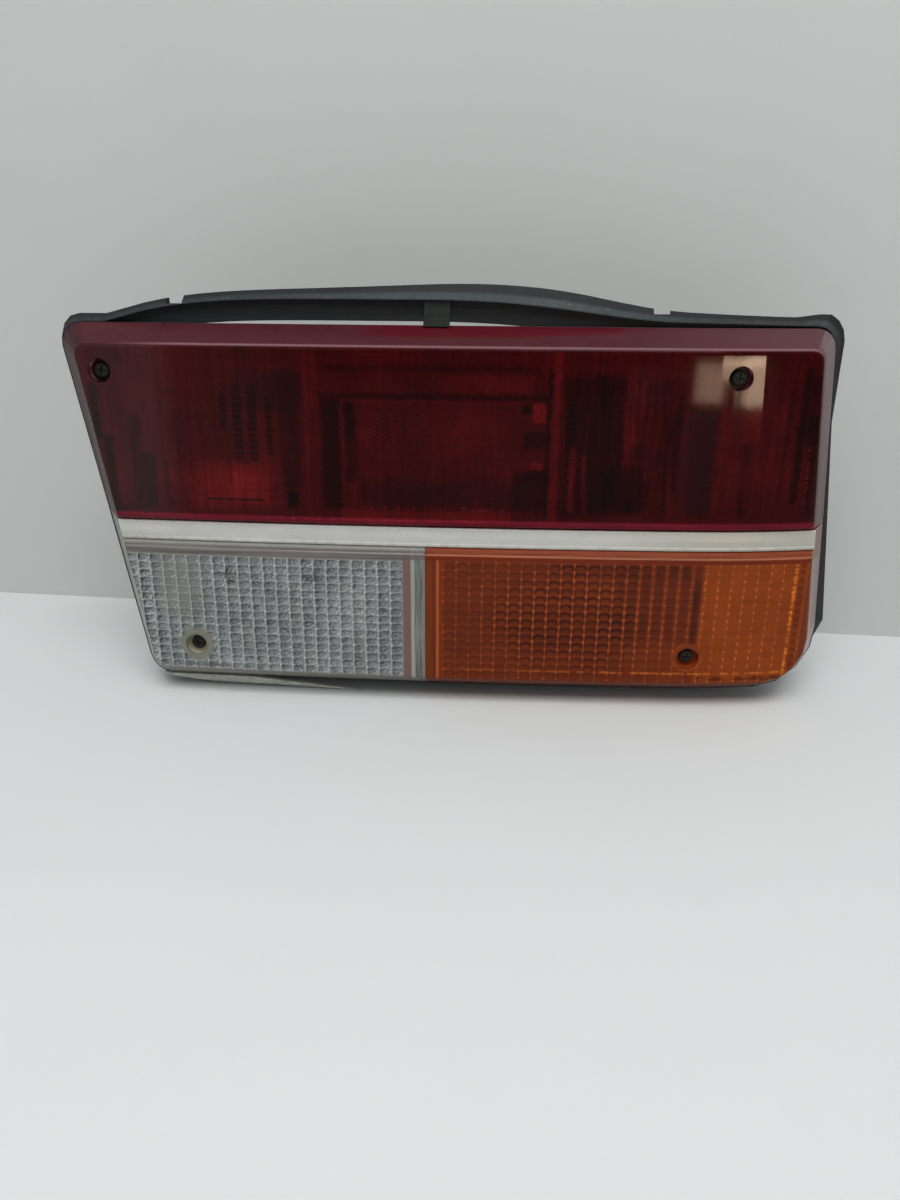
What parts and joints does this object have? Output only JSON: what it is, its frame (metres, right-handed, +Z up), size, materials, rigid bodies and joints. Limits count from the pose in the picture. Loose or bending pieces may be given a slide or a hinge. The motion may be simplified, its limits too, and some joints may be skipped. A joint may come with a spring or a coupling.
{
  "type": "tail light cluster",
  "caption": "Right-hand car tail light cluster: red lens over a clear and an amber prism lens, silver strip between them, rubber gasket round the edge and a bulb carrier behind.",
  "frame": {"origin": "centre of the four fixing studs, on the flat back of the housing", "axes": "+X outboard, towards the end that wraps round the car's side; +Y into the car, the way the studs point; +Z up"},
  "size_m": [0.4316, 0.087, 0.2283],
  "materials": {
    "red_plastic": "clear red, smooth outside, fluted inside",
    "clear_plastic": "colourless, smooth outside, prisms inside",
    "amber_plastic": "clear amber, smooth outside, prisms inside",
    "strip": "satin silver with faint scratches",
    "reflex": "red, prismatic",
    "foam": "pale grey foam, aged",
    "gasket_rubber": "dusty black rubber",
    "clip": "grey green paint with brown dust",
    "housing": "pale grey, silvered inside",
    "carrier": "ivory",
    "brass": "dull",
    "screw_steel": "blackened steel",
    "zinc": "zinc plated, yellowed",
    "thumb": "off-white",
    "bulb_glass": "clear glass on a brass cap"
  },
  "bodies": {
    "root": {"red_lens": "red_plastic", "clear_lens": "clear_plastic", "amber_lens": "amber_plastic", "trim_strip": "strip", "reflex_panel": "reflex", "lens_seal": "foam", "body_gasket": "gasket_rubber", "gasket_clip": "clip", "housing": "housing", "bulb_carrier": "carrier", "earth_strip": "brass", "lens_screw_upper_inboard": "screw_steel", "lens_screw_upper_outboard": "screw_steel", "lens_screw_lower_inboard": "screw_steel", "lens_screw_lower_outboard": "screw_steel", "fog_bulb": "bulb_glass", "stop_tail_bulb": "bulb_glass", "reversing_bulb": "bulb_glass", "indicator_bulb": "bulb_glass", "stud_upper_inboard": "zinc", "stud_upper_outboard": "zinc", "stud_lower_inboard": "zinc", "stud_lower_outboard": "zinc", "thumb_screw_inboard": "thumb", "thumb_screw_outboard": "thumb", "fog_contact": "brass", "reversing_contact": "brass", "stop_contact": "brass", "tail_contact": "brass", "indicator_contact": "brass"}
  },
  "joints": []
}
